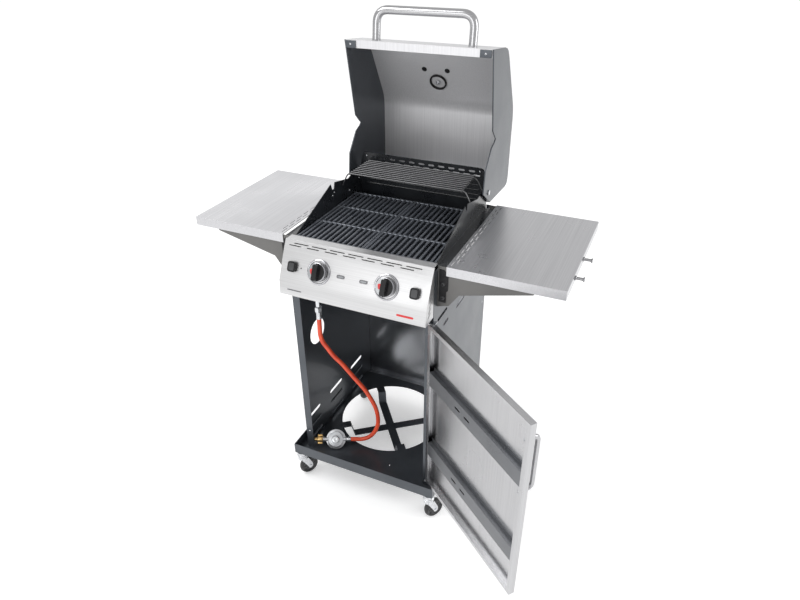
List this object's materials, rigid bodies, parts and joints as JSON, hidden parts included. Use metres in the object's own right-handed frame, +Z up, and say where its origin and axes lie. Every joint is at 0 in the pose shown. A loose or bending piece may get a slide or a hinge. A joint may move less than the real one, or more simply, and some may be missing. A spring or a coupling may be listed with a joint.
{
  "type": "gas barbecue grill",
  "caption": "Gas barbecue on a wheeled cabinet cart: hinged lid, cast grates over tube burners, side shelves, knob panel, pan door and a hose with its regulator.",
  "frame": {"origin": "centre of the footprint box, on the floor under the casters", "axes": "+Z up, -Y towards the cook, +X to the cook's right; lid and door stand open at rest"},
  "size_m": [1.165, 0.9666, 1.4817],
  "materials": {
    "graphite_paint": "satin powder coat",
    "stainless": "brushed",
    "galvanised": "dull zinc coating",
    "zinc": "bright zinc plate",
    "black_enamel": "gloss enamel",
    "cast_iron": "enamelled",
    "chrome": "polished",
    "black_plastic": "satin",
    "hose_rubber": "satin",
    "brass": "satin",
    "wheel_plastic": "matt"
  },
  "bodies": {
    "cart": {"base_tray": "graphite_paint", "bottle_strap_a": "graphite_paint", "bottle_strap_b": "graphite_paint", "side_panel_left": "graphite_paint", "side_panel_right": "graphite_paint", "front_rail": "graphite_paint", "shelf_frame_left": "graphite_paint", "shelf_frame_right": "graphite_paint", "shelf_left": "stainless", "shelf_right": "stainless", "tool_peg_front": "stainless", "tool_peg_rear": "stainless", "control_panel": "stainless", "burner_left": "stainless", "burner_right": "stainless", "warming_rack": "stainless", "gas_manifold": "stainless", "back_panel": "galvanised", "lid_pin_left": "zinc", "lid_pin_right": "zinc", "door_pin_upper": "zinc", "door_pin_lower": "zinc", "regulator": "zinc", "hose_ferrule": "zinc", "firebox": "black_enamel", "rear_baffle": "black_enamel", "heat_plate_left": "black_enamel", "heat_plate_right": "black_enamel", "grate_left": "cast_iron", "grate_right": "cast_iron", "knob_bezel_left": "chrome", "knob_bezel_right": "chrome", "hose": "hose_rubber", "hose_coupling": "brass", "regulator_nut": "brass"},
    "lid": {"lid_skin": "stainless", "lid_side_left": "graphite_paint", "lid_side_right": "graphite_paint", "lid_handle": "stainless", "thermometer": "chrome"},
    "door": {"door_panel": "stainless", "door_channel_upper": "galvanised", "door_channel_lower": "galvanised", "door_handle": "stainless"},
    "grease_tray": {"grease_tray": "galvanised"},
    "igniter_button": {"igniter_button": "black_plastic"},
    "light_button": {"light_button": "black_plastic"},
    "valve_stem_left": {"valve_stem_left": "brass"},
    "knob_left": {"knob_left": "black_plastic"},
    "valve_stem_right": {"valve_stem_right": "brass"},
    "knob_right": {"knob_right": "black_plastic"},
    "fork_front_left": {"caster_fork_front_left": "zinc"},
    "wheel_front_left": {"caster_wheel_front_left": "wheel_plastic"},
    "fork_front_right": {"caster_fork_front_right": "zinc"},
    "wheel_front_right": {"caster_wheel_front_right": "wheel_plastic"},
    "fork_rear_left": {"caster_fork_rear_left": "zinc"},
    "wheel_rear_left": {"caster_wheel_rear_left": "wheel_plastic"},
    "fork_rear_right": {"caster_fork_rear_right": "zinc"},
    "wheel_rear_right": {"caster_wheel_rear_right": "wheel_plastic"}
  },
  "joints": [
    {"name": "lid_hinge", "type": "hinge", "parent": "cart", "child": "lid", "pos_m": [-0.0125, 0.26021, 0.9658], "axis": [1, 0, 0], "range_deg": [0, 90]},
    {"name": "door_hinge", "type": "hinge", "parent": "cart", "child": "door", "pos_m": [0.2165, -0.19548, 0.45], "axis": [0, 0, 1], "range_deg": [-141.6, 8.4]},
    {"name": "burner_left_push", "type": "slide", "parent": "cart", "child": "valve_stem_left", "axis": [0, 0.9025, -0.4306], "range_m": [0, 0.003], "stiffness_N_per_m": 400, "springref_m": -0.002},
    {"name": "burner_left_turn", "type": "hinge", "parent": "valve_stem_left", "child": "knob_left", "pos_m": [-0.1175, -0.21741, 0.84991], "axis": [0, -0.9025, 0.4306], "range_deg": [0, 150]},
    {"name": "burner_right_push", "type": "slide", "parent": "cart", "child": "valve_stem_right", "axis": [0, 0.9025, -0.4306], "range_m": [0, 0.003], "stiffness_N_per_m": 400, "springref_m": -0.002},
    {"name": "burner_right_turn", "type": "hinge", "parent": "valve_stem_right", "child": "knob_right", "pos_m": [0.0925, -0.21741, 0.84991], "axis": [0, -0.9025, 0.4306], "range_deg": [0, 150]},
    {"name": "igniter_button_push", "type": "slide", "parent": "cart", "child": "igniter_button", "axis": [0, 0.9025, -0.4306], "range_m": [0, 0.003], "stiffness_N_per_m": 300, "springref_m": -0.002},
    {"name": "light_button_push", "type": "slide", "parent": "cart", "child": "light_button", "axis": [0, 0.9025, -0.4306], "range_m": [0, 0.003], "stiffness_N_per_m": 300, "springref_m": -0.002},
    {"name": "grease_tray_slide", "type": "slide", "parent": "cart", "child": "grease_tray", "axis": [0, 1, 0], "range_m": [0, 0.36]},
    {"name": "swivel_front_left", "type": "hinge", "parent": "cart", "child": "fork_front_left", "pos_m": [-0.2505, -0.20948, 0.09], "axis": [0, 0, 1], "continuous": true},
    {"name": "roll_front_left", "type": "hinge", "parent": "fork_front_left", "child": "wheel_front_left", "pos_m": [-0.24111, -0.19183, 0.034], "axis": [-0.8829, 0.4695, 0], "continuous": true},
    {"name": "swivel_front_right", "type": "hinge", "parent": "cart", "child": "fork_front_right", "pos_m": [0.2255, -0.20948, 0.09], "axis": [0, 0, 1], "continuous": true},
    {"name": "roll_front_right", "type": "hinge", "parent": "fork_front_right", "child": "wheel_front_right", "pos_m": [0.2361, -0.19252, 0.034], "axis": [-0.848, 0.5299, 0], "continuous": true},
    {"name": "swivel_rear_left", "type": "hinge", "parent": "cart", "child": "fork_rear_left", "pos_m": [-0.2505, 0.27252, 0.09], "axis": [0, 0, 1], "continuous": true},
    {"name": "roll_rear_left", "type": "hinge", "parent": "fork_rear_left", "child": "wheel_rear_left", "pos_m": [-0.24566, 0.25311, 0.034], "axis": [0.9703, 0.2419, 0], "continuous": true},
    {"name": "swivel_rear_right", "type": "hinge", "parent": "cart", "child": "fork_rear_right", "pos_m": [0.2255, 0.27252, 0.09], "axis": [0, 0, 1], "continuous": true},
    {"name": "roll_rear_right", "type": "hinge", "parent": "fork_rear_right", "child": "wheel_rear_right", "pos_m": [0.2155, 0.2552, 0.034], "axis": [0.866, -0.5, 0], "continuous": true}
  ]
}
